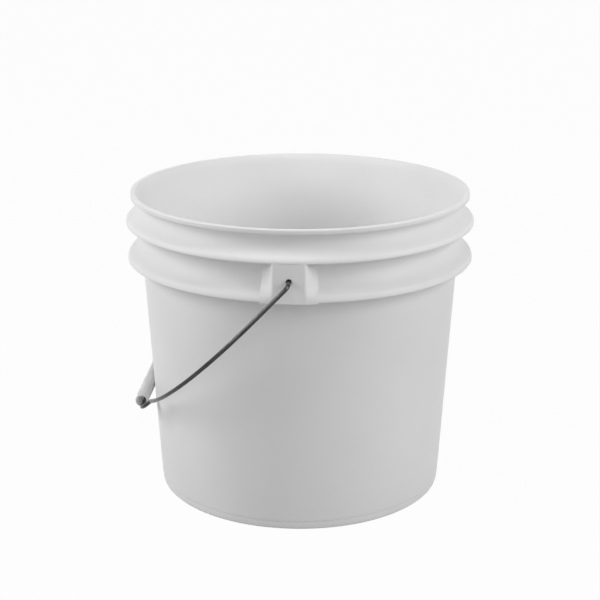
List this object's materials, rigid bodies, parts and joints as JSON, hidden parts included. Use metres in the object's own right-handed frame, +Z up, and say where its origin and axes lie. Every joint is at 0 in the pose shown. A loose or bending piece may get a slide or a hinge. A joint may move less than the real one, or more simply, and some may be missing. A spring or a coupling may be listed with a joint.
{
  "type": "pail",
  "caption": "Tapered open-top plastic pail with two outside skirts, moulded ears, a swinging wire bail and a loose tubular grip.",
  "frame": {"origin": "centre of the foot ring, on the surface the pail stands on", "axes": "+Z up through the mouth, +Y through the rear bail ear (the bail pivots lie on Y), the bail rests down on the -X side"},
  "size_m": [0.3088, 0.3384, 0.2715],
  "materials": {
    "body_plastic": "smooth satin white polyethylene",
    "zinc_wire": "bright zinc-plated drawn wire",
    "grip_plastic": "smooth satin white polyethylene"
  },
  "bodies": {
    "pail": {"pail_body": "body_plastic"},
    "bail": {"bail_wire": "zinc_wire"},
    "grip": {"bail_grip": "grip_plastic"}
  },
  "joints": [
    {"name": "bail_swing", "type": "hinge", "parent": "pail", "child": "bail", "pos_m": [0, 0, 0.2294], "axis": [0, 1, 0], "range_deg": [0, 271.5]},
    {"name": "grip_spin", "type": "hinge", "parent": "bail", "child": "grip", "pos_m": [-0.13938, 0, 0.08595], "axis": [0, 1, 0], "continuous": true}
  ]
}
